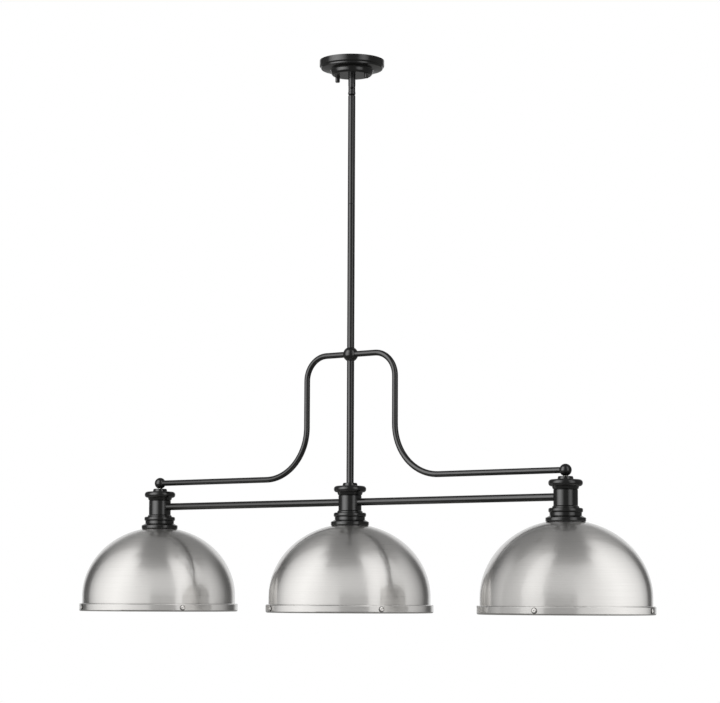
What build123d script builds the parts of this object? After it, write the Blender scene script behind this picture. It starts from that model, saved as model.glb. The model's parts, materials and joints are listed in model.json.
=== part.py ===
from build123d import *
import os
from math import asin, degrees, sqrt

# Layout. Z is zero on the ceiling, X runs along the row of lights, sizes are in millimetres.
light_spacing = 533.4
pin_drop = 28.6
rod_joint_drop = 253.0
hub_drop = 325.5
arm_reach = 116.5
arm_drop = 262.5
arm_upper_bend = 52.0
arm_lower_bend = 110.0
crossbar_drop = 35.3
pin_turn = 36.0
light_turn = {"left": -32.0, "center": -32.0, "right": -79.0}

# Clearances. Seats are fixed fits, gaps are between pieces that move past each other.
seat = 0.05
running = 0.06
side_gap = 0.2
swing_gap = 0.4

# Tubes, pipes and balls
tube_od = 15.6
arm_od = 12.7
arm_wall = 1.6
pipe_od = 9.8
pipe_wall = 1.5
hub_diameter = 32.4
end_ball_diameter = 25.0
hub_seat_depth = 8.0
end_seat_depth = 7.0
tube_ease = 0.5
stem_pipe_reach = 11.4

# Ceiling strap and bar
strap_length = 110.0
strap_width = 22.0
bar_length = 98.0
bar_width = 16.0
bar_corner = 4.0
plate = 1.6
box_hole_spacing = 69.85
box_hole_diameter = 4.8
wide_slot_spacing = 90.0
wide_slot_length = 9.0
eyelet_diameter = 9.8
eyelet_flange = 2.0
eyelet_wall = 1.2
eyelet_lip = 0.8
stud_spacing = 77.0
stud_diameter = 4.2
stud_nut_flats = 8.7
stud_nut_height = 3.2
ground_screw_offset = 20.0
ground_screw_head = 8.0
ground_screw_head_height = 2.4
ground_screw_slot = 1.4

# Canopy pan, from the ceiling down to its flat
canopy_diameter = 140.0
canopy_wall_height = 13.8
canopy_height = 32.4
canopy_sheet = 1.2
canopy_step_width = 3.4
canopy_step_height = 4.4
canopy_step_round = 1.0
canopy_shelf_width = 20.4
canopy_shelf_fall = 2.4
canopy_boss_height = 8.0
canopy_boss_taper = 1.4
canopy_slope_width = 3.4
canopy_edge_round = 2.2
canopy_cove_round = 3.0
canopy_boss_round = 2.0
canopy_foot_round = 2.5
cap_nut_diameter = 9.8
cap_nut_height = 10.3
cap_nut_bore_depth = 8.0
cap_nut_round = 1.7

# Swivel under the canopy
knuckle_radius = 15.0
fork_slot = 5.0
tongue_radius = 5.2
pin_diameter = 4.8
pin_head_diameter = 6.4
pin_head_height = 0.9
pin_slot = 1.0
yoke_bead = 0.5
yoke_bead_height = 4.0
rod_notch = 1.2
rod_notch_height = 2.6
plug_length = 22.0
yoke_pipe_length = 14.0
washer_diameter = 21.0
washer_height = 1.2
yoke_nut_flats = 14.3
yoke_nut_height = 5.0
joint_pipe_length = 26.0

# Collar and neck of one light
collar_height = 5.7
collar_top_radius = 14.7
collar_base_radius = 16.3
collar_round = 1.6
neck_height = 85.7
flange_radius = 34.5
flange_height = 14.3
flange_fall = 1.2
band_radius = 27.4
band_height = 5.4
band_taper = 1.8
groove_depth = 0.8
groove_height = 2.2
barrel_radius = 24.6
barrel_height = 31.0
step_radius = 27.2
step_height = 4.8
bead_radius = 34.5
bead_height = 9.2
waist_radius = 32.2
waist_height = 6.0
base_radius = 40.5
base_chamfer = 4.4
base_round = 3.2
neck_edge_round = 0.7
flange_round_share = 0.48
bead_round_share = 0.4
crossbar_seat_depth = 12.0
stem_seat_depth = 14.0
socket_pocket_depth = 38.0

# Socket and shade ring
socket_diameter = 39.0
socket_length = 59.0
socket_bore_depth = 27.0
socket_pipe_depth = 8.0
ring_diameter = 58.0
ring_height = 6.5
ring_ease = 1.0

# Shade, rim band and its fasteners
rim_diameter = 355.6
rim_height = 17.4
rim_sheet = 1.2
rim_top_round = 1.4
rim_foot_round = 2.4
rim_lip = 3.0
rim_stand = 6.2
dome_flattening = 16.4
shade_skirt = 31.6
shade_sheet = 1.2
shade_flat_margin = 1.0
rivet_count = 4
rivet_head_diameter = 12.0
rivet_head_height = 2.0
rivet_head_round = 1.2
rivet_dimple_diameter = 3.0
rivet_dimple_depth = 0.7
rivet_shank_diameter = 4.0
rivet_tail_diameter = 7.0
rivet_tail_height = 1.2

# Lamp
bulb_diameter = 60.0
bulb_length = 110.0
bulb_base_diameter = 26.0
bulb_base_height = 26.0
bulb_contact_diameter = 9.0
bulb_contact_height = 1.2
bulb_insulator_height = 3.6
bulb_socket_gap = 0.35

# Radii and heights that follow from the sizes above
tube_r = tube_od / 2
arm_r = arm_od / 2
pipe_r = pipe_od / 2
pipe_bore = pipe_r - pipe_wall
pipe_hole = pipe_r + seat
hub_r = hub_diameter / 2
end_ball_r = end_ball_diameter / 2
socket_r = socket_diameter / 2
rim_r = rim_diameter / 2
shade_radius = rim_r - rim_stand
shade_rise = shade_radius - dome_flattening

canopy_flat = -canopy_height
canopy_inside = canopy_flat + canopy_sheet
pin_z = canopy_flat - pin_drop
cup_radius = knuckle_radius + swing_gap
rod_joint_z = pin_z - rod_joint_drop
hub_z = rod_joint_z - hub_drop
end_ball_z = hub_z - arm_drop
collar_top = end_ball_z - end_ball_r
neck_top = collar_top - collar_height
crossbar_z = neck_top - crossbar_drop
neck_foot = neck_top - neck_height
pocket_top = neck_foot + socket_pocket_depth
socket_foot = pocket_top - socket_length
flat_radius = base_radius + shade_flat_margin
shade_equator = neck_foot - shade_rise * sqrt(1 - (flat_radius / shade_radius) ** 2)
rim_foot = shade_equator - shade_skirt - rim_sheet
lamp_top = socket_foot + socket_bore_depth - bulb_socket_gap
lamp_base_foot = lamp_top - bulb_base_height
bar_top = -plate - side_gap
bar_foot = bar_top - plate

lights = {"left": -light_spacing, "center": 0.0, "right": light_spacing}
pieces = {}


def turned(*corners):
    """Solid turned about Z from (radius, height) corners; a third value rounds that corner."""
    outline = FilletPolyline(
        *[corner[:2] for corner in corners],
        radius=[corner[2] if len(corner) == 3 else 0 for corner in corners],
        close=True,
    )
    return revolve(Plane.XZ * make_face(outline), Axis.Z)


def upright(radius, top, foot, bore=0.0):
    """Round bar, or a tube where it has a bore, on the Z axis between two heights."""
    middle = Pos(0, 0, (top + foot) / 2)
    bar = Cylinder(radius, top - foot)
    if bore:
        bar -= Cylinder(bore, top - foot)
    return middle * bar


def along_x(radius, start, end, z):
    """Round bar parallel to X between two X values."""
    return Pos((start + end) / 2, 0, z) * Rot(0, 90, 0) * Cylinder(radius, end - start)


def hex_nut(flats, bore, top, height):
    """Hexagon nut hanging down from a height on the Z axis."""
    blank = extrude(Pos(0, 0, top) * RegularPolygon(flats / 2, 6, major_radius=False), -height)
    return blank - upright(bore, top, top - height)


def at_studs(shape):
    """The two copies of a piece that stand at the canopy studs."""
    return Compound([Pos(side * stud_spacing / 2, 0, 0) * shape for side in (-1, 1)])


# Ceiling strap, its turning bar and the eyelet between them
def box_strap():
    strap = Pos(0, 0, -plate / 2) * Box(strap_width, strap_length, plate)
    strap -= upright(eyelet_diameter / 2 + seat, 0, -plate)
    strap -= upright(eyelet_diameter / 2 + eyelet_flange + seat, 0, -eyelet_lip)
    for side in (-1, 1):
        strap -= Pos(0, side * box_hole_spacing / 2, 0) * upright(box_hole_diameter / 2, 0, -plate)
        slot = SlotOverall(wide_slot_length, box_hole_diameter, rotation=90)
        strap -= extrude(Pos(0, side * wide_slot_spacing / 2, 0) * slot, -plate)
    return strap


def swivel_bar():
    bar = Pos(0, 0, bar_top - plate / 2) * Box(bar_length, bar_width, plate)
    bar = fillet(bar.edges().filter_by(Axis.Z), bar_corner)
    bar -= upright(eyelet_diameter / 2 + running, bar_top, bar_foot)
    bar -= Pos(ground_screw_offset, 0, 0) * upright(stud_diameter / 2 + seat, bar_top, bar_foot)
    for side in (-1, 1):
        hole = upright(stud_diameter / 2 + seat, bar_top, bar_foot)
        bar -= Pos(side * stud_spacing / 2, 0, 0) * hole
    return bar


def strap_eyelet():
    shank_r = eyelet_diameter / 2
    flange_r = shank_r + eyelet_flange
    bore = shank_r - eyelet_wall
    foot = bar_foot - side_gap - eyelet_lip
    return turned(
        (bore, 0),
        (flange_r, 0),
        (flange_r, -eyelet_lip),
        (shank_r, -eyelet_lip),
        (shank_r, foot + eyelet_lip),
        (flange_r, foot + eyelet_lip),
        (flange_r, foot),
        (bore, foot),
    )


def ground_screw():
    head_foot = bar_foot - ground_screw_head_height
    screw = upright(stud_diameter / 2, bar_top - side_gap, bar_foot)
    screw += upright(ground_screw_head / 2, bar_foot, head_foot)
    slot = Pos(0, 0, head_foot) * Box(ground_screw_head, ground_screw_slot, ground_screw_head_height)
    return Pos(ground_screw_offset, 0, 0) * (screw - slot)


# Canopy pan with a rolled wall, a step, a shelf and a boss that slopes into the flat
def canopy_outline(inset):
    """Corners of the pan's outside, or of its inside where the sheet is taken off."""
    wall_r = canopy_diameter / 2
    step_r = wall_r - canopy_step_width
    cove_r = step_r - canopy_shelf_width
    boss_r = cove_r - canopy_boss_taper
    foot_r = boss_r - canopy_slope_width
    wall_z = -canopy_wall_height
    step_z = wall_z - canopy_step_height
    cove_z = step_z - canopy_shelf_fall
    boss_z = cove_z - canopy_boss_height
    return [
        (wall_r - inset, 0),
        (wall_r - inset, wall_z + inset, canopy_edge_round),
        (step_r - inset, wall_z + inset, canopy_step_round),
        (step_r - inset, step_z + inset, canopy_step_round),
        (cove_r - inset, cove_z + inset, canopy_cove_round),
        (boss_r - inset, boss_z + inset, canopy_boss_round),
        (foot_r - inset, canopy_flat + inset, canopy_foot_round),
        (0, canopy_flat + inset),
        (0, 0),
    ]


def canopy():
    pan = turned(*canopy_outline(0)) - turned(*canopy_outline(canopy_sheet))
    pan -= upright(pipe_hole, canopy_inside, canopy_flat)
    for side in (-1, 1):
        hole = upright(stud_diameter / 2 + side_gap, canopy_inside + canopy_sheet, canopy_flat)
        pan -= Pos(side * stud_spacing / 2, 0, 0) * hole
    return pan


def cap_nut():
    radius = cap_nut_diameter / 2
    foot = canopy_flat - cap_nut_height
    nut = turned((0, canopy_flat), (radius, canopy_flat), (radius, foot, cap_nut_round), (0, foot))
    return nut - upright(stud_diameter / 2 + seat, canopy_flat, canopy_flat - cap_nut_bore_depth)


# Swivel: a fork under the canopy, a cross pin and a tongue in the rod's rounded top
def swivel_yoke():
    foot = pin_z - knuckle_radius
    bead_foot = pin_z - sqrt(knuckle_radius**2 - (tube_r + yoke_bead) ** 2)
    yoke = upright(tube_r, canopy_flat, foot)
    yoke += turned(
        (0, bead_foot + yoke_bead_height + yoke_bead),
        (tube_r, bead_foot + yoke_bead_height + yoke_bead),
        (tube_r + yoke_bead, bead_foot + yoke_bead_height),
        (tube_r + yoke_bead, foot),
        (0, foot),
    )
    yoke &= upright(tube_od, canopy_flat, pin_z) + Pos(0, 0, pin_z) * Sphere(knuckle_radius)
    yoke += upright(pipe_r, canopy_flat + yoke_pipe_length, canopy_flat)
    slot_top = pin_z + tongue_radius + swing_gap
    slot_height = slot_top - foot
    yoke -= Pos(0, 0, slot_top - slot_height / 2) * Box(2 * tube_od, fork_slot, slot_height)
    yoke -= upright(pipe_bore, canopy_flat + yoke_pipe_length, slot_top)
    yoke -= Pos(0, 0, pin_z) * Rot(90, 0, 0) * Cylinder(pin_diameter / 2 + seat, 2 * tube_od)
    spot = tube_od - pin_seat()
    facing_front = Pos(0, -pin_seat() - spot / 2, pin_z) * Rot(90, 0, 0)
    yoke -= facing_front * Cylinder(pin_head_diameter / 2 + seat, spot)
    return Rot(0, 0, pin_turn) * yoke


def pin_seat():
    """Distance from the yoke's axis to the flat that the pin's head sits on."""
    return sqrt(tube_r**2 - (pin_head_diameter / 2 + seat) ** 2)


def swivel_pin():
    shank_length = pin_seat() + tube_r
    pin = Pos(0, 0, -shank_length / 2) * Cylinder(pin_diameter / 2, shank_length)
    head = Pos(0, 0, pin_head_height / 2) * Cylinder(pin_head_diameter / 2, pin_head_height)
    slot = Pos(0, 0, pin_head_height) * Box(pin_head_diameter, pin_slot, pin_head_height)
    facing_front = Pos(0, -pin_seat(), pin_z) * Rot(90, 0, 0)
    return Rot(0, 0, pin_turn) * facing_front * (pin + head - slot)


def swivel_tongue():
    thickness = fork_slot - 2 * side_gap
    reach = cup_radius + tongue_radius
    outline = Circle(tongue_radius) + Pos(0, -reach / 2) * Rectangle(2 * tongue_radius, reach)
    blade = extrude(Plane.XZ * outline, thickness / 2, both=True)
    blade -= Rot(90, 0, 0) * Cylinder(pin_diameter / 2 + running, 2 * thickness)
    plug = upright(pipe_r, 0, -cup_radius - plug_length) - Sphere(cup_radius)
    keep = blade & (Sphere(cup_radius) + upright(pipe_r, 0, -reach))
    return Rot(0, 0, pin_turn) * Pos(0, 0, pin_z) * (keep + plug)


def upper_rod():
    lip_r = tube_r - rod_notch
    lip_z = pin_z - sqrt(cup_radius**2 - lip_r**2)
    rod = turned(
        (pipe_hole, pin_z),
        (lip_r, pin_z),
        (lip_r, lip_z),
        (tube_r, lip_z - rod_notch_height),
        (tube_r, rod_joint_z + tube_ease),
        (tube_r - tube_ease, rod_joint_z),
        (pipe_hole, rod_joint_z),
    )
    return rod - Pos(0, 0, pin_z) * Sphere(cup_radius)


def lower_rod():
    foot = hub_z + hub_r - hub_seat_depth
    return turned(
        (pipe_hole, rod_joint_z),
        (tube_r - tube_ease, rod_joint_z),
        (tube_r, rod_joint_z - tube_ease),
        (tube_r, foot),
        (pipe_hole, foot),
    )


# Hub, arms and end balls
def hub_ball():
    reach = hub_r - hub_seat_depth
    ball = Sphere(hub_r)
    ball -= upright(pipe_hole, hub_r, -hub_r)
    ball -= along_x(arm_r - arm_wall, -hub_r, hub_r, 0)
    for side in (-1, 1):
        ball -= upright(tube_r + seat, max(side * reach, side * hub_r), min(side * reach, side * hub_r))
        ball -= along_x(arm_r + seat, min(side * reach, side * hub_r), max(side * reach, side * hub_r), 0)
    return Pos(0, 0, hub_z) * ball


def arm(side):
    """Bent tube from the hub out to the end ball on one side."""
    start = hub_r - hub_seat_depth
    end = light_spacing - end_ball_r + end_seat_depth
    route = FilletPolyline(
        (side * start, 0, hub_z),
        (side * arm_reach, 0, hub_z),
        (side * arm_reach, 0, end_ball_z),
        (side * end, 0, end_ball_z),
        radius=[arm_upper_bend, arm_lower_bend],
    )
    section = Circle(arm_r) - Circle(arm_r - arm_wall)
    return sweep(Plane(route @ 0, z_dir=route % 0) * section, path=route)


def end_ball(side):
    """Ball that takes the arm from the inner side and the lamp pipe from below."""
    inner = end_ball_r - end_seat_depth
    ball = Sphere(end_ball_r)
    mouth = sorted((-side * inner, -side * end_ball_r))
    ball -= along_x(arm_r + seat, mouth[0], mouth[1], 0)
    way = sorted((0, -side * end_ball_r))
    ball -= along_x(pipe_bore, way[0], way[1], 0)
    ball -= upright(pipe_hole, 0, -end_ball_r)
    return Pos(side * light_spacing, 0, end_ball_z) * ball


def crossbar(side):
    """Tube between the middle neck and an end neck."""
    inset = barrel_radius - crossbar_seat_depth
    ends = sorted((side * inset, side * (light_spacing - inset)))
    return along_x(tube_r, ends[0], ends[1], crossbar_z) - along_x(pipe_hole, ends[0], ends[1], crossbar_z)


# Collar, neck and lamp pipe of one light
def collar(name):
    bore = tube_r + seat if name == "center" else pipe_hole
    return turned(
        (bore, collar_top),
        (collar_top_radius, collar_top, collar_round),
        (collar_base_radius, neck_top),
        (bore, neck_top),
    )


def neck(name):
    band_top = neck_top - flange_height
    groove_top = band_top - band_height
    barrel_top = groove_top - groove_height
    barrel_foot = barrel_top - barrel_height
    bead_top = barrel_foot - step_height
    bead_foot = bead_top - bead_height
    waist_foot = bead_foot - waist_height
    flange_round = flange_round_share * (flange_height - flange_fall)
    bead_turn = bead_foot + bead_radius - waist_radius
    bead_round = bead_round_share * (bead_top - bead_turn)
    body = turned(
        (0, neck_top),
        (collar_base_radius, neck_top),
        (flange_radius, neck_top - flange_fall, flange_round),
        (flange_radius, band_top, flange_round),
        (band_radius, band_top),
        (band_radius - band_taper, groove_top, neck_edge_round),
        (barrel_radius - groove_depth, groove_top - groove_depth),
        (barrel_radius, barrel_top),
        (barrel_radius, barrel_foot),
        (step_radius, barrel_foot - step_height / 2, neck_edge_round),
        (step_radius, bead_top),
        (bead_radius, bead_top, bead_round),
        (bead_radius, bead_turn, bead_round),
        (waist_radius, bead_foot),
        (waist_radius, waist_foot),
        (base_radius, waist_foot - base_chamfer, neck_edge_round),
        (base_radius, neck_foot, base_round),
        (0, neck_foot),
    )
    body -= upright(pipe_hole, neck_top, pocket_top)
    body -= upright(socket_r + seat, pocket_top, neck_foot)
    if name == "center":
        body -= upright(tube_r + seat, neck_top, neck_top - stem_seat_depth)
    for side in crossbar_sides(name):
        ends = sorted((side * (barrel_radius - crossbar_seat_depth), side * base_radius))
        body -= along_x(tube_r + seat, ends[0], ends[1], crossbar_z)
    return body


def crossbar_sides(name):
    """Sides of a neck that a crossbar enters."""
    return {"left": (1,), "center": (-1, 1), "right": (-1,)}[name]


def center_stem():
    top = hub_z - hub_r + hub_seat_depth
    return upright(tube_r, top, neck_top - stem_seat_depth, pipe_hole)


def lamp_nipple(name):
    top = neck_top + stem_pipe_reach if name == "center" else end_ball_z
    return upright(pipe_r, top, pocket_top - socket_pipe_depth, pipe_bore)


# Socket, shade ring and lamp
def socket():
    bore_r = bulb_base_diameter / 2 + bulb_socket_gap
    body = turned(
        (0, pocket_top),
        (socket_r, pocket_top),
        (socket_r, socket_foot),
        (bore_r, socket_foot),
        (bore_r, socket_foot + socket_bore_depth),
        (0, socket_foot + socket_bore_depth),
    )
    return body - upright(pipe_hole, pocket_top, pocket_top - socket_pipe_depth)


def shade_ring():
    top = neck_foot - shade_sheet
    return turned(
        (socket_r + seat, top),
        (ring_diameter / 2, top),
        (ring_diameter / 2, top - ring_height, ring_ease),
        (socket_r + seat, top - ring_height),
    )


def bulb_base():
    radius = bulb_base_diameter / 2
    contact_r = bulb_contact_diameter / 2
    contact_foot = lamp_top - bulb_contact_height
    shoulder = contact_foot - bulb_insulator_height
    return turned(
        (0, lamp_top),
        (contact_r, lamp_top),
        (contact_r, contact_foot),
        (radius, shoulder),
        (radius, lamp_base_foot),
        (0, lamp_base_foot),
    )


def bulb_glass():
    round_r = bulb_diameter / 2
    throat_r = bulb_base_diameter / 2
    tip = lamp_top - bulb_length
    center = tip + round_r
    rise = lamp_base_foot - center
    throat_arc = (rise**2 + throat_r**2 - round_r**2) / (2 * (round_r - throat_r))
    share = round_r / (throat_arc + round_r)
    meet = ((throat_r + throat_arc) * share, center + rise * share)
    flank = TangentArc((throat_r, lamp_base_foot), meet, tangent=(0, -1))
    crown = TangentArc(meet, (0, tip), tangent=flank % 1)
    top = Polyline((0, tip), (0, lamp_base_foot), (throat_r, lamp_base_foot))
    return revolve(Plane.XZ * make_face(flank + crown + top), Axis.Z)


# Shade, rim band and rivets
def shade():
    """Spun dome: flat seat under the neck, elliptical crown and straight skirt."""
    inner_a = shade_radius - shade_sheet
    inner_b = shade_rise - shade_sheet
    inner_top = neck_foot - shade_sheet
    outer_angle = degrees(asin((neck_foot - shade_equator) / shade_rise))
    inner_angle = degrees(asin((inner_top - shade_equator) / inner_b))
    skirt_foot = shade_equator - shade_skirt
    hole = socket_r + 2 * seat
    outer = EllipticalCenterArc((0, shade_equator), shade_radius, shade_rise, arc_size=outer_angle)
    inner = EllipticalCenterArc((0, shade_equator), inner_a, inner_b, arc_size=inner_angle)
    crown = Polyline(outer @ 1, (hole, neck_foot), (hole, inner_top), inner @ 1)
    skirt = Polyline(outer @ 0, (shade_radius, skirt_foot), (inner_a, skirt_foot), inner @ 0)
    dome = revolve(Plane.XZ * make_face(outer + inner + crown + skirt), Axis.Z)
    return dome - rivet_holes(shade_radius - 2 * shade_sheet, shade_radius + shade_sheet)


def rim_band():
    """Rolled band: top lip against the skirt, outer wall and a lip under the skirt's edge."""
    top = rim_foot + rim_height
    skirt_r = shade_radius + seat
    inner_r = rim_r - rim_sheet
    foot_r = shade_radius - rim_lip
    band = turned(
        (skirt_r, top),
        (rim_r, top, rim_top_round + rim_sheet),
        (rim_r, rim_foot, rim_foot_round + rim_sheet),
        (foot_r, rim_foot),
        (foot_r, rim_foot + rim_sheet),
        (inner_r, rim_foot + rim_sheet, rim_foot_round),
        (inner_r, top - rim_sheet, rim_top_round),
        (skirt_r, top - rim_sheet),
    )
    return band - rivet_holes(inner_r - rim_sheet, rim_r + rim_sheet)


def rivet_places():
    """Frames whose Z axis points outward through the middle of the rim band."""
    height = rim_foot + rim_height / 2
    step = 360 / rivet_count
    return [Rot(0, 0, step * k) * Pos(0, 0, height) * Rot(0, 90, 0) for k in range(rivet_count)]


def rivet_holes(start, end):
    hole = Pos(0, 0, (start + end) / 2) * Cylinder(rivet_shank_diameter / 2 + seat, end - start)
    return [place * hole for place in rivet_places()]


def rim_rivets():
    head_r = rivet_head_diameter / 2
    shank_r = rivet_shank_diameter / 2
    tail_r = rivet_tail_diameter / 2
    dimple_r = rivet_dimple_diameter / 2
    face = rim_r + rivet_head_height
    tail_top = sqrt((shade_radius - shade_sheet) ** 2 - tail_r**2) - seat
    rivet = turned(
        (0, face - rivet_dimple_depth),
        (dimple_r, face),
        (head_r, face, rivet_head_round),
        (head_r, rim_r),
        (shank_r, rim_r),
        (shank_r, tail_top),
        (tail_r, tail_top),
        (tail_r, tail_top - rivet_tail_height),
        (0, tail_top - rivet_tail_height),
    )
    return Compound([place * rivet for place in rivet_places()])


pieces["box_strap"] = box_strap()
pieces["strap_eyelet"] = strap_eyelet()
pieces["swivel_bar"] = swivel_bar()
pieces["canopy_studs"] = at_studs(
    upright(stud_diameter / 2, bar_top - side_gap, canopy_flat - cap_nut_bore_depth + side_gap)
)
pieces["stud_nuts"] = at_studs(
    hex_nut(stud_nut_flats, stud_diameter / 2 + seat, bar_foot, stud_nut_height)
)
pieces["ground_screw"] = ground_screw()
pieces["canopy"] = canopy()
pieces["canopy_nuts"] = at_studs(cap_nut())
pieces["swivel_yoke"] = swivel_yoke()
washer_top = canopy_inside + washer_height
pieces["yoke_washer"] = upright(washer_diameter / 2, washer_top, canopy_inside, pipe_hole)
pieces["yoke_nut"] = hex_nut(
    yoke_nut_flats, pipe_hole, washer_top + yoke_nut_height, yoke_nut_height
)
pieces["swivel_pin"] = swivel_pin()
pieces["swivel_tongue"] = swivel_tongue()
pieces["upper_rod"] = upper_rod()
pieces["lower_rod"] = lower_rod()
pieces["rod_nipple"] = upright(
    pipe_r, rod_joint_z + joint_pipe_length / 2, rod_joint_z - joint_pipe_length / 2, pipe_bore
)
pieces["hub_ball"] = hub_ball()
pieces["center_stem"] = center_stem()
for side, word in ((-1, "left"), (1, "right")):
    pieces["arm_" + word] = arm(side)
    pieces["end_ball_" + word] = end_ball(side)
    pieces["crossbar_" + word] = crossbar(side)

for name, x in lights.items():
    place = Pos(x, 0, 0)
    turned_place = place * Rot(0, 0, light_turn[name])
    pieces["collar_" + name] = place * collar(name)
    pieces["neck_" + name] = place * neck(name)
    pieces["lamp_nipple_" + name] = place * lamp_nipple(name)
    pieces["socket_" + name] = place * socket()
    pieces["shade_ring_" + name] = place * shade_ring()
    pieces["bulb_base_" + name] = place * bulb_base()
    pieces["bulb_glass_" + name] = place * bulb_glass()
    pieces["shade_" + name] = turned_place * shade()
    pieces["rim_band_" + name] = turned_place * rim_band()
    pieces["rim_rivets_" + name] = turned_place * rim_rivets()

os.makedirs("parts", exist_ok=True)
for name, shape in pieces.items():
    export_step(shape, f"parts/{name}.step")
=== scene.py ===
import json
from math import cos, pi, radians, sin, tan

import bpy
import bmesh
from mathutils import Matrix, Vector

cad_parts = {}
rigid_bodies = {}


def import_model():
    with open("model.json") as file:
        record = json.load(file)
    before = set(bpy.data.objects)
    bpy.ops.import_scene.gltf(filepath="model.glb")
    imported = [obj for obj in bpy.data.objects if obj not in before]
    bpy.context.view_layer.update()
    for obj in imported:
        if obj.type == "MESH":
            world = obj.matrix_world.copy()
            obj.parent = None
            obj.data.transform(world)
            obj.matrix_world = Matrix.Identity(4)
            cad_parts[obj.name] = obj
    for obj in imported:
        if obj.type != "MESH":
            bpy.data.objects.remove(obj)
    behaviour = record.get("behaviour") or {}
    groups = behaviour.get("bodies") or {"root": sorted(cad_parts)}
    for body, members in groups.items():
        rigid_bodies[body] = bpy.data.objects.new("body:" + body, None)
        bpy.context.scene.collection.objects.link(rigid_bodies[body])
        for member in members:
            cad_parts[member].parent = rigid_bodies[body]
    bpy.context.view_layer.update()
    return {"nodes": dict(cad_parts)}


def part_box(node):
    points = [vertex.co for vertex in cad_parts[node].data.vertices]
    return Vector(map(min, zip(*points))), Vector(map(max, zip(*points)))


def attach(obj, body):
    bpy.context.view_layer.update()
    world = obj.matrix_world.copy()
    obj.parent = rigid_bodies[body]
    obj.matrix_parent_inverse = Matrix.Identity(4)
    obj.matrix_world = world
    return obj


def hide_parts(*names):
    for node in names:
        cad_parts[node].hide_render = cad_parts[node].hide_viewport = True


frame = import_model()


# Ceiling strap, turning bar and eyelet.
# Stamped strip steel, zinc plated in a barrel: pale metal, faintly clouded, some grains duller than
# others. The strap is screwed to the outlet box, and the eyelet lets the bar turn under it.
def linear(code):
    """Linear colour with alpha from an sRGB hex value."""
    parts = [int(code[k:k + 2], 16) / 255 for k in (1, 3, 5)]
    return [c / 12.92 if c <= 0.04045 else ((c + 0.055) / 1.055) ** 2.4 for c in parts] + [1.0]


def add_node(tree, kind, inputs=(), **settings):
    """Adds a node with its settings; an input is a plain value or another node's output."""
    node = tree.nodes.new(kind)
    for name, value in settings.items():
        setattr(node, name, value)
    for key, value in dict(inputs).items():
        if isinstance(value, bpy.types.NodeSocket):
            tree.links.new(value, node.inputs[key])
        else:
            node.inputs[key].default_value = value
    return node


def new_finish(name):
    """A new material with its tree, its shader and the place on the piece in metres."""
    finish = bpy.data.materials.new(name)
    finish.use_nodes = True
    tree = finish.node_tree
    place = add_node(tree, "ShaderNodeTexCoord").outputs["Object"]
    return finish, tree, tree.nodes["Principled BSDF"], place


def dress(finish, *names):
    """Gives a finish to CAD nodes."""
    for name in names:
        piece = frame["nodes"][name]
        piece.data.materials.clear()
        piece.data.materials.append(finish)


zinc_plate, tree, shader, place = new_finish("zinc_plated_steel")
grain_size = 0.0025
cloud_size = 0.012
grains = add_node(tree, "ShaderNodeTexVoronoi", {"Vector": place, "Scale": 1 / grain_size})
clouds = add_node(
    tree, "ShaderNodeTexNoise", {"Vector": place, "Scale": 1 / cloud_size, "Detail": 4},
)
tint = add_node(
    tree, "ShaderNodeMix",
    {"Factor": clouds.outputs["Fac"], "A": linear("#8f9190"), "B": linear("#b9b8b0")},
    data_type="RGBA",
)
spangle = add_node(
    tree, "ShaderNodeMapRange", {"Value": grains.outputs["Color"], "To Min": 0.0, "To Max": 0.3},
)
tint = add_node(
    tree, "ShaderNodeMix",
    {"Factor": spangle.outputs["Result"], "A": tint.outputs["Result"], "B": linear("#6f7272")},
    data_type="RGBA",
)
dull = add_node(
    tree, "ShaderNodeMapRange",
    {"Value": grains.outputs["Distance"], "To Min": 0.26, "To Max": 0.42},
)
tree.links.new(tint.outputs["Result"], shader.inputs["Base Color"])
tree.links.new(dull.outputs["Result"], shader.inputs["Roughness"])
shader.inputs["Metallic"].default_value = 1.0
dress(zinc_plate, "box_strap", "strap_eyelet", "swivel_bar")


# Canopy studs with their lock nuts, and the earth screw.
# Cold-rolled steel studs screwed down through the bar, zinc plated, with hexagon nuts under it and a
# thread of 32 turns to the inch. The earth screw is plated a clouded green, so that it stands out.
def new_pattern(name, sizes):
    """A geometry tree with places, named sizes and a finish as its inputs."""
    pattern = bpy.data.node_groups.new(name, "GeometryNodeTree")
    pattern.interface.new_socket("Places", in_out="INPUT", socket_type="NodeSocketGeometry")
    for size in sizes:
        pattern.interface.new_socket(size, in_out="INPUT", socket_type="NodeSocketFloat")
    pattern.interface.new_socket("Finish", in_out="INPUT", socket_type="NodeSocketMaterial")
    pattern.interface.new_socket("Pieces", in_out="OUTPUT", socket_type="NodeSocketGeometry")
    return pattern, add_node(pattern, "NodeGroupInput").outputs


def close_pattern(pattern, shape, given):
    """Puts one shape at every place, makes it real and gives it its finish."""
    spread = add_node(
        pattern, "GeometryNodeInstanceOnPoints", {"Points": given["Places"], "Instance": shape},
    )
    real = add_node(
        pattern, "GeometryNodeRealizeInstances", {"Geometry": spread.outputs["Instances"]},
    )
    coated = add_node(
        pattern, "GeometryNodeSetMaterial",
        {"Geometry": real.outputs["Geometry"], "Material": given["Finish"]},
    )
    add_node(pattern, "NodeGroupOutput", {"Pieces": coated.outputs["Geometry"]})


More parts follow.
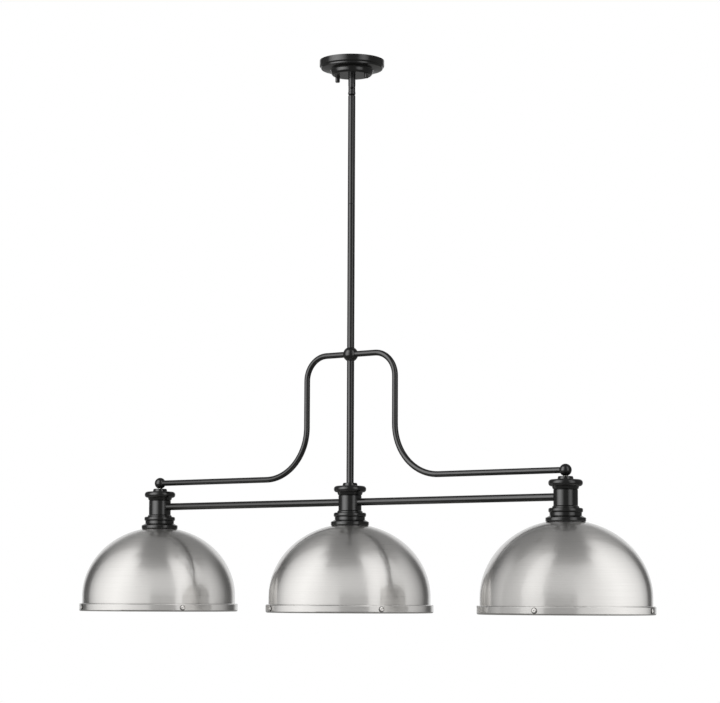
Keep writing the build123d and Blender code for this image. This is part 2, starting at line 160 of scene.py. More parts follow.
def grow(name, pattern, places, body, values):
    """Runs a pattern at some places and leaves a plain mesh that rides on a body."""
    piece = bpy.data.objects.new(name, bpy.data.meshes.new(name + "_places"))
    piece.data.from_pydata(places, [], [])
    bpy.context.scene.collection.objects.link(piece)
    steps = piece.modifiers.new("pattern", "NODES")
    steps.node_group = pattern
    for socket in pattern.interface.items_tree:
        if socket.in_out == "INPUT" and socket.name in values:
            steps[socket.identifier] = values[socket.name]
    made = piece.evaluated_get(bpy.context.evaluated_depsgraph_get())
    mesh = bpy.data.meshes.new_from_object(made)
    piece.modifiers.clear()
    piece.data = mesh
    mesh.name = name
    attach(piece, body)
    return piece


thread_pattern, given = new_pattern("screw_thread", ("Radius", "Pitch", "Length", "Ridge"))
steps_per_turn = 20
ridge_sides = 6
turns = add_node(
    thread_pattern, "ShaderNodeMath", {0: given["Length"], 1: given["Pitch"]}, operation="DIVIDE",
)
helix = add_node(
    thread_pattern, "GeometryNodeCurveSpiral",
    {"Resolution": steps_per_turn, "Rotations": turns.outputs["Value"],
     "Start Radius": given["Radius"], "End Radius": given["Radius"], "Height": given["Length"]},
)
ridge = add_node(
    thread_pattern, "GeometryNodeCurvePrimitiveCircle",
    {"Resolution": ridge_sides, "Radius": given["Ridge"]},
)
thread = add_node(
    thread_pattern, "GeometryNodeCurveToMesh",
    {"Curve": helix.outputs["Curve"], "Profile Curve": ridge.outputs["Curve"], "Fill Caps": True},
)
close_pattern(thread_pattern, thread.outputs["Mesh"], given)

stud_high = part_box("canopy_studs")[1]
lock_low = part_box("stud_nuts")[0]
canopy_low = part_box("canopy")[0]
stud_radius = stud_high.y
stud_reach = stud_high.x - stud_radius
canopy_sheet = 0.0012
thread_gap = 0.0003
inch = 0.0254
stud_pitch = inch / 32
ridge_share = 0.3
thread_foot = canopy_low.z + canopy_sheet + thread_gap
grow(
    "stud_threads", thread_pattern,
    [(-stud_reach, 0, thread_foot), (stud_reach, 0, thread_foot)], "canopy",
    {"Radius": stud_radius, "Pitch": stud_pitch, "Length": lock_low.z - thread_gap - thread_foot,
     "Ridge": ridge_share * stud_pitch, "Finish": zinc_plate},
)
dress(zinc_plate, "canopy_studs", "stud_nuts")

green_plate, tree, shader, place = new_finish("green_plated_steel")
clouds = add_node(
    tree, "ShaderNodeTexNoise", {"Vector": place, "Scale": 1 / grain_size, "Detail": 3},
)
tint = add_node(
    tree, "ShaderNodeMix",
    {"Factor": clouds.outputs["Fac"], "A": linear("#2c6a38"), "B": linear("#46914f")},
    data_type="RGBA",
)
tree.links.new(tint.outputs["Result"], shader.inputs["Base Color"])
shader.inputs["Metallic"].default_value = 0.8
shader.inputs["Roughness"].default_value = 0.35
dress(green_plate, "ground_screw")


# Canopy and its cap nuts.
# A pan spun from steel sheet and two turned nuts under it, in one satin black powder coat. The coat
# flows into a fine orange peel, so its highlights are soft-edged and a little broken.
powder_coat, tree, shader, place = new_finish("satin_black_powder_coat")
peel_size = 0.0016
peel_depth = 0.00003
speck_size = 0.0007
peel = add_node(
    tree, "ShaderNodeTexNoise",
    {"Vector": place, "Scale": 1 / peel_size, "Detail": 2}, name="peel",
)
specks = add_node(
    tree, "ShaderNodeTexNoise", {"Vector": place, "Scale": 1 / speck_size, "Detail": 3},
)
tint = add_node(
    tree, "ShaderNodeMix",
    {"Factor": specks.outputs["Fac"], "A": linear("#0b0b0b"), "B": linear("#171716")},
    data_type="RGBA",
)
gloss = add_node(
    tree, "ShaderNodeMapRange",
    {"Value": specks.outputs["Fac"], "From Min": 0.3, "From Max": 0.7,
     "To Min": 0.17, "To Max": 0.24},
)
bump = add_node(
    tree, "ShaderNodeBump",
    {"Height": peel.outputs["Fac"], "Strength": 0.06, "Distance": peel_depth}, name="depth",
)
tree.links.new(tint.outputs["Result"], shader.inputs["Base Color"])
tree.links.new(gloss.outputs["Result"], shader.inputs["Roughness"])
tree.links.new(bump.outputs["Normal"], shader.inputs["Normal"])
shader.inputs["IOR"].default_value = 1.5
dress(powder_coat, "canopy", "canopy_nuts")


# Swivel: the fork under the canopy, its cross pin, and the washer and nut that hold it.
# Turned steel in the canopy's coat. The fork's stub is lamp pipe at 27 turns to the inch, so that the
# zinc nut can draw it up. The pin is a blackened screw without the coat, and shines as dark metal.
yoke_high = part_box("swivel_yoke")[1]
nut_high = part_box("yoke_nut")[1]
pipe_radius = 0.0049
pipe_pitch = inch / 27
grow(
    "yoke_pipe_thread", thread_pattern, [(0, 0, nut_high.z + thread_gap)], "canopy",
    {"Radius": pipe_radius, "Pitch": pipe_pitch, "Length": yoke_high.z - nut_high.z - pipe_pitch,
     "Ridge": ridge_share * pipe_pitch, "Finish": powder_coat},
)
dress(powder_coat, "swivel_yoke", "swivel_tongue")
dress(zinc_plate, "yoke_washer", "yoke_nut")

blackened, tree, shader, place = new_finish("blackened_steel")
stain_size = 0.0012
stain = add_node(
    tree, "ShaderNodeTexNoise", {"Vector": place, "Scale": 1 / stain_size, "Detail": 3},
)
tint = add_node(
    tree, "ShaderNodeMix",
    {"Factor": stain.outputs["Fac"], "A": linear("#2a2a2b"), "B": linear("#454546")},
    data_type="RGBA",
)
worn = add_node(
    tree, "ShaderNodeMapRange", {"Value": stain.outputs["Fac"], "To Min": 0.16, "To Max": 0.3},
)
tree.links.new(tint.outputs["Result"], shader.inputs["Base Color"])
tree.links.new(worn.outputs["Result"], shader.inputs["Roughness"])
shader.inputs["Metallic"].default_value = 1.0
dress(blackened, "swivel_pin")


# Down rods, hub, stem, arms, end balls and crossbars.
# Drawn steel tube, cut, bent and screwed together on hidden lamp pipe, with turned balls, all in the
# canopy's coat. Only the pipe inside the rod joint is zinc plated.
dress(
    powder_coat, "upper_rod", "lower_rod", "hub_ball", "center_stem", "arm_left", "arm_right",
    "end_ball_left", "end_ball_right", "crossbar_left", "crossbar_right",
)
dress(zinc_plate, "rod_nipple")


# Collars and necks.
# Turned collars over die-cast necks, in the same black. The coat lies thicker on a casting and its
# peel is coarser, so the barrel's highlight is mottled.
coated_casting = powder_coat.copy()
coated_casting.name = "powder_coated_casting"
cast_peel_size = 0.0042
cast_peel_depth = 0.00008
coated_casting.node_tree.nodes["peel"].inputs["Scale"].default_value = 1 / cast_peel_size
coated_casting.node_tree.nodes["depth"].inputs["Distance"].default_value = cast_peel_depth
lights = ("left", "center", "right")
for light in lights:
    dress(powder_coat, "collar_" + light)
    dress(coated_casting, "neck_" + light)


# Lamp pipes, lampholders and lamps.
# Moulded phenolic holders with faint flow marks, on zinc plated lamp pipe. The lamps screw into them
# with bright, faintly clouded shells of rolled aluminium, and acid frosting makes their glass milky.
phenolic, tree, shader, place = new_finish("moulded_phenolic")
flow_size = 0.006
flow = add_node(
    tree, "ShaderNodeTexNoise", {"Vector": place, "Scale": 1 / flow_size, "Detail": 5},
)
tint = add_node(
    tree, "ShaderNodeMix",
    {"Factor": flow.outputs["Fac"], "A": linear("#161514"), "B": linear("#24221f")},
    data_type="RGBA",
)
satin = add_node(
    tree, "ShaderNodeMapRange", {"Value": flow.outputs["Fac"], "To Min": 0.36, "To Max": 0.5},
)
tree.links.new(tint.outputs["Result"], shader.inputs["Base Color"])
tree.links.new(satin.outputs["Result"], shader.inputs["Roughness"])

lamp_shell, tree, shader, place = new_finish("rolled_aluminium_shell")
clouds = add_node(
    tree, "ShaderNodeTexNoise", {"Vector": place, "Scale": 1 / grain_size, "Detail": 3},
)
tint = add_node(
    tree, "ShaderNodeMix",
    {"Factor": clouds.outputs["Fac"], "A": linear("#b4b4b2"), "B": linear("#d6d5d1")},
    data_type="RGBA",
)
tree.links.new(tint.outputs["Result"], shader.inputs["Base Color"])
shader.inputs["Metallic"].default_value = 1.0
shader.inputs["Roughness"].default_value = 0.3

frosted, tree, shader, place = new_finish("frosted_lamp_glass")
frost_size = 0.0006
frost = add_node(
    tree, "ShaderNodeTexNoise", {"Vector": place, "Scale": 1 / frost_size, "Detail": 2},
)
haze = add_node(
    tree, "ShaderNodeMapRange", {"Value": frost.outputs["Fac"], "To Min": 0.35, "To Max": 0.6},
)
milk = add_node(
    tree, "ShaderNodeMix",
    {"Factor": frost.outputs["Fac"], "A": linear("#ecebe4"), "B": linear("#f6f5ef")},
    data_type="RGBA",
)
tree.links.new(milk.outputs["Result"], shader.inputs["Base Color"])
tree.links.new(haze.outputs["Result"], shader.inputs["Roughness"])
shader.inputs["Transmission Weight"].default_value = 0.12
shader.inputs["IOR"].default_value = 1.5
for light in lights:
    dress(zinc_plate, "lamp_nipple_" + light)
    dress(phenolic, "socket_" + light)
    dress(lamp_shell, "bulb_base_" + light)
    dress(frosted, "bulb_glass_" + light)


# Ring nuts that clamp the shades under the necks.
# Turned steel rings, zinc plated, run up on the lampholder by hand. Fine upright ribs are pressed
# into their rims for grip, and show from below inside the shade.
rib_pattern, given = new_pattern("grip_ribs", ("Radius", "Height", "Width"))
rib_count = 96
rim_points = add_node(
    rib_pattern, "GeometryNodeMeshCircle", {"Vertices": rib_count, "Radius": given["Radius"]},
)
rib_size = add_node(
    rib_pattern, "ShaderNodeCombineXYZ",
    {"X": given["Width"], "Y": given["Width"], "Z": given["Height"]},
)
rib = add_node(rib_pattern, "GeometryNodeMeshCube", {"Size": rib_size.outputs["Vector"]})
outward = add_node(rib_pattern, "GeometryNodeInputPosition")
facing = add_node(
    rib_pattern, "FunctionNodeAlignRotationToVector",
    {"Vector": outward.outputs["Position"]}, axis="X",
)
edge_up = add_node(
    rib_pattern, "FunctionNodeRotateRotation",
    {"Rotation": facing.outputs["Rotation"], "Rotate By": (0, 0, pi / 4)}, rotation_space="LOCAL",
)
ribs = add_node(
    rib_pattern, "GeometryNodeInstanceOnPoints",
    {"Points": rim_points.outputs["Mesh"], "Instance": rib.outputs["Mesh"],
     "Rotation": edge_up.outputs["Rotation"]},
)
close_pattern(rib_pattern, ribs.outputs["Instances"], given)

shade_middles = {}
ring_places = []
rib_width = 0.0009
rib_lift = 0.0005
rib_margin = 0.0015
for light in lights:
    low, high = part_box("shade_ring_" + light)
    shade_middles[light] = (low.x + high.x) / 2
    ring_places.append((shade_middles[light], 0, (low.z + high.z) / 2 + rib_lift))
    dress(zinc_plate, "shade_ring_" + light)
grow(
    "ring_nut_ribs", rib_pattern, ring_places, "frame",
    {"Radius": (high.x - low.x) / 2, "Height": high.z - low.z - rib_margin, "Width": rib_width,
     "Finish": zinc_plate},
)


# Dome shades and rim bands.
# Spun steel, nickel plated, brushed round on the lathe and lacquered. The brushing draws reflections
# out up and down and keeps upright edges sharp. Inside, the plate is as spun: duller, with no lines.
nickel, tree, shader, place = new_finish("brushed_nickel")
shade_low, shade_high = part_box("shade_center")
spacing = shade_middles["right"] - shade_middles["center"]
shade_radius = (shade_high.x - shade_low.x) / 2
skirt = 0.0316
equator = shade_low.z + skirt
dome_rise = 0.1552
shade_sheet = 0.0012
axes = add_node(tree, "ShaderNodeSeparateXYZ", {"Vector": place})
from_axis = add_node(
    tree, "ShaderNodeMath",
    {0: axes.outputs["X"], 1: -spacing / 2, 2: spacing / 2}, operation="WRAP",
)
around = add_node(
    tree, "ShaderNodeMath",
    {0: axes.outputs["Y"], 1: from_axis.outputs["Value"]}, operation="ARCTAN2",
)
flat_spot = add_node(
    tree, "ShaderNodeCombineXYZ", {"X": from_axis.outputs["Value"], "Y": axes.outputs["Y"]},
)
reach = add_node(
    tree, "ShaderNodeVectorMath", {0: flat_spot.outputs["Vector"]}, operation="LENGTH",
)
height = add_node(
    tree, "ShaderNodeMath", {0: axes.outputs["Z"], 1: equator}, operation="SUBTRACT",
)
down = add_node(
    tree, "ShaderNodeMath",
    {0: reach.outputs["Value"], 1: height.outputs["Value"]}, operation="ARCTAN2",
)
# Brush lines run about 150 mm round the shade. The real grit leaves lines of 0.1 mm, drawn here
# 1.4 mm wide so that they show.
line_length = 0.15
line_width = 0.0014
brush_depth = 0.0001
along = add_node(
    tree, "ShaderNodeMath",
    {0: around.outputs["Value"], 1: shade_radius / line_length}, operation="MULTIPLY",
)
across = add_node(
    tree, "ShaderNodeMath",
    {0: down.outputs["Value"], 1: shade_radius / line_width}, operation="MULTIPLY",
)
brush_place = add_node(
    tree, "ShaderNodeCombineXYZ", {"X": along.outputs["Value"], "Y": across.outputs["Value"]},
)
brush = add_node(
    tree, "ShaderNodeTexNoise",
    {"Vector": brush_place.outputs["Vector"], "Scale": 1.0, "Detail": 3, "Roughness": 0.6},
)
# A spot lies outside when it is beyond the middle of the sheet
above = add_node(
    tree, "ShaderNodeMath", {0: height.outputs["Value"], 1: 0.0}, operation="MAXIMUM",
)
out_share = add_node(
    tree, "ShaderNodeMath",
    {0: reach.outputs["Value"], 1: shade_radius - shade_sheet / 2}, operation="DIVIDE",
)
up_share = add_node(
    tree, "ShaderNodeMath",
    {0: above.outputs["Value"], 1: dome_rise - shade_sheet / 2}, operation="DIVIDE",
)
shares = add_node(
    tree, "ShaderNodeCombineXYZ",
    {"X": out_share.outputs["Value"], "Y": up_share.outputs["Value"]},
)
from_skin = add_node(
    tree, "ShaderNodeVectorMath", {0: shares.outputs["Vector"]}, operation="LENGTH",
)
outside = add_node(
    tree, "ShaderNodeMath", {0: from_skin.outputs["Value"], 1: 1.0}, operation="GREATER_THAN",
)
tint = add_node(
    tree, "ShaderNodeMix",
    {"Factor": brush.outputs["Fac"], "A": linear("#c8c6c3"), "B": linear("#e0dedb")},
    data_type="RGBA",
)
tint = add_node(
    tree, "ShaderNodeMix",
    {"Factor": outside.outputs["Value"], "A": linear("#aeaca8"), "B": tint.outputs["Result"]},
    data_type="RGBA",
)
rough = add_node(
    tree, "ShaderNodeMapRange",
    {"Value": brush.outputs["Fac"], "From Min": 0.3, "From Max": 0.7,
     "To Min": 0.27, "To Max": 0.35},
)
as_spun = 0.42
rough = add_node(
    tree, "ShaderNodeMix",
    {"Factor": outside.outputs["Value"], "A": as_spun, "B": rough.outputs["Result"]},
)
bump = add_node(
    tree, "ShaderNodeBump",
    {"Height": brush.outputs["Fac"], "Strength": 0.08, "Distance": brush_depth},
)
turned_round = add_node(
    tree, "ShaderNodeVectorMath",
    {0: (0, 0, 1), 1: flat_spot.outputs["Vector"]}, operation="CROSS_PRODUCT",
)
brush_way = add_node(
    tree, "ShaderNodeVectorTransform", {"Vector": turned_round.outputs["Vector"]},
    vector_type="VECTOR", convert_from="OBJECT", convert_to="WORLD",
)
tree.links.new(tint.outputs["Result"], shader.inputs["Base Color"])
tree.links.new(rough.outputs["Result"], shader.inputs["Roughness"])
tree.links.new(bump.outputs["Normal"], shader.inputs["Normal"])
tree.links.new(brush_way.outputs["Vector"], shader.inputs["Tangent"])
tree.links.new(outside.outputs["Value"], shader.inputs["Coat Weight"])
shader.inputs["Metallic"].default_value = 1.0
shader.inputs["Anisotropic"].default_value = 0.85
shader.inputs["Anisotropic Rotation"].default_value = 0.25
shader.inputs["Coat Roughness"].default_value = 0.05
shader.inputs["Coat IOR"].default_value = 1.7
for light in lights:
    dress(nickel, "shade_" + light, "rim_band_" + light)


# Rim rivets.
# Four to a shade, turned from nickel plated brass and headed over inside. Each low domed head has a
# small centre dimple and is polished, with painted shade darkening its edge where it meets the band.
rivet_outline = (
    (0.0, 1.25), (0.7, 1.3), (1.2, 1.55), (1.5, 1.9), (1.8, 2.0), (3.0, 1.93),
    (4.2, 1.7), (5.2, 1.3), (5.8, 0.85), (6.0, 0.45), (6.0, -0.15), (2.0, -0.15),
    (2.0, -7.45), (3.5, -7.45), (3.5, -8.2), (3.1, -8.65), (0.0, -8.65),
)
# The outline gives a radius and a height above the band, both in mm
head_radius = 6.0
rivet_sides = 40
weld_distance = 1e-6
rivet_mesh = bpy.data.meshes.new("rivet")
lathe = bmesh.new()
seam = lathe.verts.layers.float.new("seam")
profile = [lathe.verts.new((h / 1000, r / 1000, 0)) for r, h in rivet_outline]
for corner, (r, h) in zip(profile, rivet_outline):
    corner[seam] = r / head_radius
edges = [lathe.edges.new(pair) for pair in zip(profile, profile[1:])]
bmesh.ops.spin(
    lathe, geom=profile + edges, cent=(0, 0, 0), axis=(1, 0, 0), angle=2 * pi, steps=rivet_sides,
)
bmesh.ops.remove_doubles(lathe, verts=lathe.verts, dist=weld_distance)
bmesh.ops.recalc_face_normals(lathe, faces=lathe.faces)
for face in lathe.faces:
    face.smooth = True
lathe.to_mesh(rivet_mesh)
lathe.free()
rivet_model = bpy.data.objects.new("rivet_model", rivet_mesh)

rivet_pattern, given = new_pattern("rim_rivets", ("Radius", "Turn"))
rivet_count = 4
rivet_points = add_node(
    rivet_pattern, "GeometryNodeMeshCircle", {"Vertices": rivet_count, "Radius": given["Radius"]},
)
turn_angles = add_node(rivet_pattern, "ShaderNodeCombineXYZ", {"Z": given["Turn"]})
turned_points = add_node(
    rivet_pattern, "GeometryNodeTransform",
    {"Geometry": rivet_points.outputs["Mesh"], "Rotation": turn_angles.outputs["Vector"]},
)
one_rivet = add_node(rivet_pattern, "GeometryNodeObjectInfo", {"Object": rivet_model})
outward = add_node(rivet_pattern, "GeometryNodeInputPosition")
facing = add_node(
    rivet_pattern, "FunctionNodeAlignRotationToVector",
    {"Vector": outward.outputs["Position"]}, axis="X",
)
rivets = add_node(
    rivet_pattern, "GeometryNodeInstanceOnPoints",
    {"Points": turned_points.outputs["Geometry"], "Instance": one_rivet.outputs["Geometry"],
     "Rotation": facing.outputs["Rotation"]},
)
close_pattern(rivet_pattern, rivets.outputs["Instances"], given)

polished, tree, shader, place = new_finish("polished_nickel")
rub_size = 0.0015
seam_shade_start, seam_shade_full = 0.72, 0.97
rub = add_node(
    tree, "ShaderNodeTexNoise", {"Vector": place, "Scale": 1 / rub_size, "Detail": 2},
)
tint = add_node(
    tree, "ShaderNodeMix",
    {"Factor": rub.outputs["Fac"], "A": linear("#d2cfcb"), "B": linear("#e8e6e3")},
    data_type="RGBA",
)
# Painted shade: the head's colour darkens towards its outer edge, at the seam with the band
to_seam = add_node(tree, "ShaderNodeAttribute", attribute_name="seam")
painted_seam_shade = add_node(
    tree, "ShaderNodeMapRange",
    {"Value": to_seam.outputs["Fac"], "From Min": seam_shade_start, "From Max": seam_shade_full},
    interpolation_type="SMOOTHSTEP",
)
tint = add_node(
    tree, "ShaderNodeMix",
    {"Factor": painted_seam_shade.outputs["Result"], "A": tint.outputs["Result"], "B": linear("#3a3937")},
    data_type="RGBA",
)
shine = add_node(
    tree, "ShaderNodeMapRange", {"Value": rub.outputs["Fac"], "To Min": 0.1, "To Max": 0.2},
)
tree.links.new(tint.outputs["Result"], shader.inputs["Base Color"])
tree.links.new(shine.outputs["Result"], shader.inputs["Roughness"])
shader.inputs["Metallic"].default_value = 1.0
rivet_turns = {"left": -32.0, "center": -32.0, "right": -79.0}
band_low, band_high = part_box("rim_band_center")
band_middle = (band_low.z + band_high.z) / 2
for light in lights:
    rivet_set = grow(
        "rivets_" + light, rivet_pattern, [(shade_middles[light], 0, band_middle)],
        "frame",
        {"Radius": band_high.x, "Turn": radians(rivet_turns[light]), "Finish": polished},
    )
    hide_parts("rim_rivets_" + light)
bpy.data.objects.remove(rivet_model)


# Camera, floor, lamps and background.
# A long lens level with the shades' rims, tilted up and turned round the row so that its right end is
# nearer. The light hangs over a pale floor in soft light, in front of a white backdrop.
photo_width = 720
focal_pixels = 2334.4
camera_turn = radians(36.384)
camera_reach = 4.9684
camera_height = -1.1547
camera_tilt = radians(5.991)
camera_roll = radians(0.2346)
camera_pan = radians(-0.2306)
camera = bpy.data.objects.new("camera", bpy.data.cameras.new("camera"))
camera.data.sensor_width = 36.0
camera.data.lens = focal_pixels / photo_width * camera.data.sensor_width
heading = camera_turn + camera_pan
forward = Vector((
    -sin(heading) * cos(camera_tilt), cos(heading) * cos(camera_tilt), sin(camera_tilt),
))
sideways = Vector((cos(heading), sin(heading), 0))
upward = sideways.cross(forward)
right_edge = sideways * cos(camera_roll) + upward * sin(camera_roll)
top_edge = upward * cos(camera_roll) - sideways * sin(camera_roll)
camera_place = Vector((
    camera_reach * sin(camera_turn), -camera_reach * cos(camera_turn), camera_height,
))
camera_axes = Matrix((right_edge, top_edge, -forward)).transposed()
camera.matrix_world = Matrix.Translation(camera_place) @ camera_axes.to_4x4()
bpy.context.scene.collection.objects.link(camera)
bpy.context.scene.camera = camera

floor_height = -2.6
floor_half = 18.0
floor_corners = [
    (x * floor_half, y * floor_half, floor_height)
    for x, y in ((-1, -1), (1, -1), (1, 1), (-1, 1))
]
floor_mesh = bpy.data.meshes.new("floor")
floor_mesh.from_pydata(floor_corners, [], [(0, 1, 2, 3)])
floor = bpy.data.objects.new("floor", floor_mesh)
bpy.context.scene.collection.objects.link(floor)
# Faintly mottled paint. It glows pale only to the camera and through glass, and is open from below
floor_paint, tree, shader, place = new_finish("pale_floor_paint")
mottle_size = 0.4
floor_glow = 0.74
mottle = add_node(
    tree, "ShaderNodeTexNoise", {"Vector": place, "Scale": 1 / mottle_size, "Detail": 3},
)
tint = add_node(
    tree, "ShaderNodeMix",
    {"Factor": mottle.outputs["Fac"], "A": linear("#ececea"), "B": linear("#f4f4f2")},
    data_type="RGBA",
)
tree.links.new(tint.outputs["Result"], shader.inputs["Base Color"])
tree.links.new(tint.outputs["Result"], shader.inputs["Emission Color"])
shader.inputs["Roughness"].default_value = 0.8
ray = add_node(tree, "ShaderNodeLightPath")
seen = add_node(
    tree, "ShaderNodeMath",
    {0: ray.outputs["Is Camera Ray"], 1: ray.outputs["Is Transmission Ray"]}, operation="MAXIMUM",
)
paleness = add_node(
    tree, "ShaderNodeMath", {0: seen.outputs["Value"], 1: floor_glow}, operation="MULTIPLY",
)
tree.links.new(paleness.outputs["Value"], shader.inputs["Emission Strength"])
under = add_node(tree, "ShaderNodeNewGeometry").outputs["Backfacing"]
open_floor = add_node(tree, "ShaderNodeBsdfTransparent")
one_sided = add_node(
    tree, "ShaderNodeMixShader",
    {0: under, 1: shader.outputs["BSDF"], 2: open_floor.outputs["BSDF"]},
)
tree.links.new(one_sided.outputs["Shader"], tree.nodes["Material Output"].inputs["Surface"])
floor_mesh.materials.append(floor_paint)

toward_camera = Vector((sin(camera_turn), -cos(camera_turn), 0))
rightward = Vector((cos(camera_turn), sin(camera_turn), 0))
middle = Vector((0, 0, (shade_low.z + shade_high.z) / 2))
panel_distance = 4.0
panel_fade = 7


def panel(name, turns, rises, levels, receivers):
    """Upright soft panel from turns to the camera's right and rises above level, all in degrees.

    Its levels are the brightness at its left edge, its middle and its right edge. It fades out
    at its foot and at its head."""
    turn = radians(sum(turns)) / 2
    foot, low_full, high_full, head = [
        panel_distance * tan(radians(rise + fade))
        for rise in rises for fade in (-panel_fade, panel_fade)
    ]
    lamp = bpy.data.lights.new(name, "AREA")
    lamp.shape = "RECTANGLE"
    lamp.size = 2 * panel_distance * tan(radians(turns[1] - turns[0]) / 2)
    lamp.size_y = head - foot
    lamp.energy = max(levels) * pi * lamp.size * lamp.size_y
    lamp.use_nodes = True
    tree = lamp.node_tree
    spot = add_node(tree, "ShaderNodeNewGeometry").outputs["Parametric"]
    ways = add_node(tree, "ShaderNodeSeparateXYZ", {"Vector": spot}).outputs
    fall = add_node(tree, "ShaderNodeValToRGB", {"Fac": ways["X"]})
    fall.color_ramp.elements.new(0.5)
    for stop, position, level in zip(fall.color_ramp.elements, (0.0, 0.5, 1.0), levels):
        stop.position = position
        stop.color = [level / max(levels)] * 3 + [1.0]
    glow = fall.outputs["Color"]
    for full, end in ((low_full, foot), (high_full, head)):
        fade = add_node(
            tree, "ShaderNodeMapRange",
            {"Value": ways["Y"], "From Min": (end - foot) / (head - foot),
             "From Max": (full - foot) / (head - foot)},
            interpolation_type="SMOOTHSTEP",
        )
        glow = add_node(
            tree, "ShaderNodeMath", {0: glow, 1: fade.outputs["Result"]}, operation="MULTIPLY",
        ).outputs["Value"]
    tree.links.new(glow, tree.nodes["Emission"].inputs["Strength"])
    way = toward_camera * cos(turn) + rightward * sin(turn)
    box = bpy.data.objects.new(name, lamp)
    box.location = middle + way * panel_distance
    box.location.z += (foot + head) / 2
    box.rotation_mode = "QUATERNION"
    box.rotation_quaternion = way.to_track_quat("Z", "Y")
    box.visible_camera = False
    box.light_linking.receiver_collection = receivers
    bpy.context.scene.collection.objects.link(box)


# The black parts have panels of their own, and the right shade has the other shades' panels mirrored
receivers = {}
for group in ("frame", "shades", "right_shade"):
    receivers[group] = bpy.data.collections.new("lit_" + group)
for piece in bpy.context.scene.objects:
    if piece.type != "MESH" or piece == floor:
        continue
    group = "frame"
    if piece.name.startswith(("shade_", "rim_", "rivets")):
        group = "right_shade" if piece.name.endswith("right") else "shades"
    if piece.name.startswith("shade_ring"):
        group = "frame"
    receivers[group].objects.link(piece)
frame_rises = (-8, 55)
frame_panels = (
    ("key", (-90, -54), (0.9, 3.6, 4.7)),
    ("wide", (-54, -18), (4.7, 2.9, 0.45)),
    ("second", (24, 60), (0.9, 2.3, 1.0)),
)
for name, turns, levels in frame_panels:
    panel(name + "_frame", turns, frame_rises, levels, receivers["frame"])
shade_panels = (
    ("side", (-122, -86), (-20, 66), (0.3, 0.8, 1.05)),
    ("key", (-86, -50), (-20, 59), (1.05, 1.2, 1.04)),
    ("wide", (-50, -14), (-20, 48), (1.04, 0.8, 0.68)),
    ("front", (-14, 26), (1, 50), (0.68, 0.62, 0.58)),
    ("second", (26, 58), (-12, 68), (0.95, 1.1, 1.05)),
    ("third", (58, 94), (-12, 64), (1.05, 0.78, 0.6)),
    ("last", (94, 130), (-12, 42), (0.6, 0.36, 0.0)),
)
mirror_share = 0.95
mirror_shares = {"third": 0.62}
for name, turns, rises, levels in shade_panels:
    panel(name + "_shades", turns, rises, levels, receivers["shades"])
    mirrored_turns = (-turns[1], -turns[0])
    mirrored_levels = [mirror_shares.get(name, mirror_share) * level for level in reversed(levels)]
    panel(name + "_right_shade", mirrored_turns, rises, mirrored_levels, receivers["right_shade"])

# The floor throws light up into the shades, on to the lamps and the linings
bounce_width, bounce_depth, bounce_level = 8.0, 7.0, 0.65
bounce_lift = 0.05
bounce_light = bpy.data.lights.new("floor_bounce", "AREA")
bounce_light.shape = "RECTANGLE"
bounce_light.size = bounce_width
bounce_light.size_y = bounce_depth
bounce_light.energy = bounce_level * pi * bounce_width * bounce_depth
bounce = bpy.data.objects.new("floor_bounce", bounce_light)
bounce.location = (0, 0, floor_height + bounce_lift)
bounce.rotation_euler = (pi, 0, 0)
bounce.visible_camera = False
lit_from_below = bpy.data.collections.new("lit_from_below")
for piece in bpy.context.scene.objects:
    if piece.name.startswith(("shade_", "bulb_", "socket_", "lamp_nipple_", "ring_nut")):
        lit_from_below.objects.link(piece)
bounce.light_linking.receiver_collection = lit_from_below
bpy.context.scene.collection.objects.link(bounce)

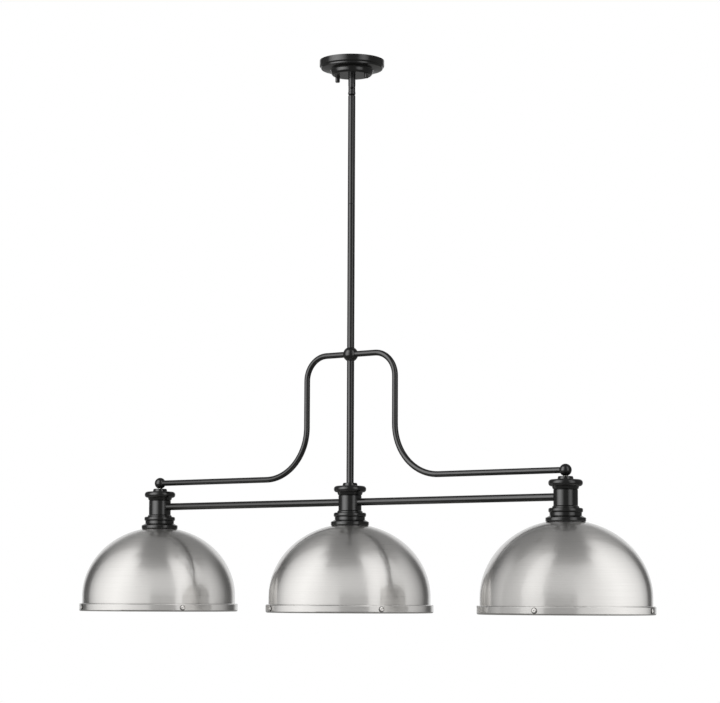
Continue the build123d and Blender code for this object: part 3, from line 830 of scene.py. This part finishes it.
world = bpy.data.worlds.new("studio")
bpy.context.scene.world = world
world.use_nodes = True
tree = world.node_tree
ray = add_node(tree, "ShaderNodeLightPath")
sky = add_node(tree, "ShaderNodeTexCoord").outputs["Generated"]
turned_sky = add_node(
    tree, "ShaderNodeVectorRotate", {"Vector": sky, "Angle": -camera_turn}, rotation_type="Z_AXIS",
)
ways = add_node(tree, "ShaderNodeSeparateXYZ", {"Vector": turned_sky.outputs["Vector"]}).outputs
flat_way = add_node(tree, "ShaderNodeCombineXYZ", {"X": ways["X"], "Y": ways["Y"]})
flat_length = add_node(
    tree, "ShaderNodeVectorMath", {0: flat_way.outputs["Vector"]}, operation="LENGTH",
)
behind = add_node(
    tree, "ShaderNodeMath", {0: ways["Y"], 1: flat_length.outputs["Value"]}, operation="DIVIDE",
)
share = add_node(
    tree, "ShaderNodeMapRange",
    {"Value": behind.outputs["Value"], "From Min": -1.0, "From Max": 1.0},
)
walls = add_node(tree, "ShaderNodeValToRGB", {"Fac": share.outputs["Result"]})
# The metal mirrors a grey room on the camera's side, dark flags at the sides and a pale backdrop
stops = (
    (0.0, "#8c8c8c"), (0.25, "#8a8a8a"), (0.59, "#888888"), (0.77, "#787878"),
    (0.85, "#585858"), (0.91, "#565656"), (0.96, "#e6e6e6"),
)
ramp = walls.color_ramp.elements
while len(ramp) < len(stops):
    ramp.new(0.5)
for stop, (position, code) in zip(ramp, stops):
    stop.position = position
    stop.color = linear(code)
wall_top, ceiling_start = 0.34, 0.6
wall_foot, ground_start = -0.02, -0.14
overhead = add_node(
    tree, "ShaderNodeMapRange",
    {"Value": ways["Z"], "From Min": wall_top, "From Max": ceiling_start},
    interpolation_type="SMOOTHSTEP",
)
room = add_node(
    tree, "ShaderNodeMix",
    {"Factor": overhead.outputs["Result"], "A": walls.outputs["Color"], "B": linear("#888888")},
    data_type="RGBA",
)
underfoot = add_node(
    tree, "ShaderNodeMapRange",
    {"Value": ways["Z"], "From Min": wall_foot, "From Max": ground_start},
    interpolation_type="SMOOTHSTEP",
)
room = add_node(
    tree, "ShaderNodeMix",
    {"Factor": underfoot.outputs["Result"], "A": room.outputs["Result"], "B": linear("#7a7a78")},
    data_type="RGBA",
)
# The camera, and what shows through glass, see plain white
seen = add_node(
    tree, "ShaderNodeMath",
    {0: ray.outputs["Is Camera Ray"], 1: ray.outputs["Is Transmission Ray"]}, operation="MAXIMUM",
)
backdrop = add_node(
    tree, "ShaderNodeMix",
    {"Factor": seen.outputs["Value"], "A": room.outputs["Result"], "B": linear("#ffffff")},
    data_type="RGBA",
)
tree.links.new(backdrop.outputs["Result"], tree.nodes["Background"].inputs["Color"])
bpy.context.scene.view_settings.view_transform = "Standard"
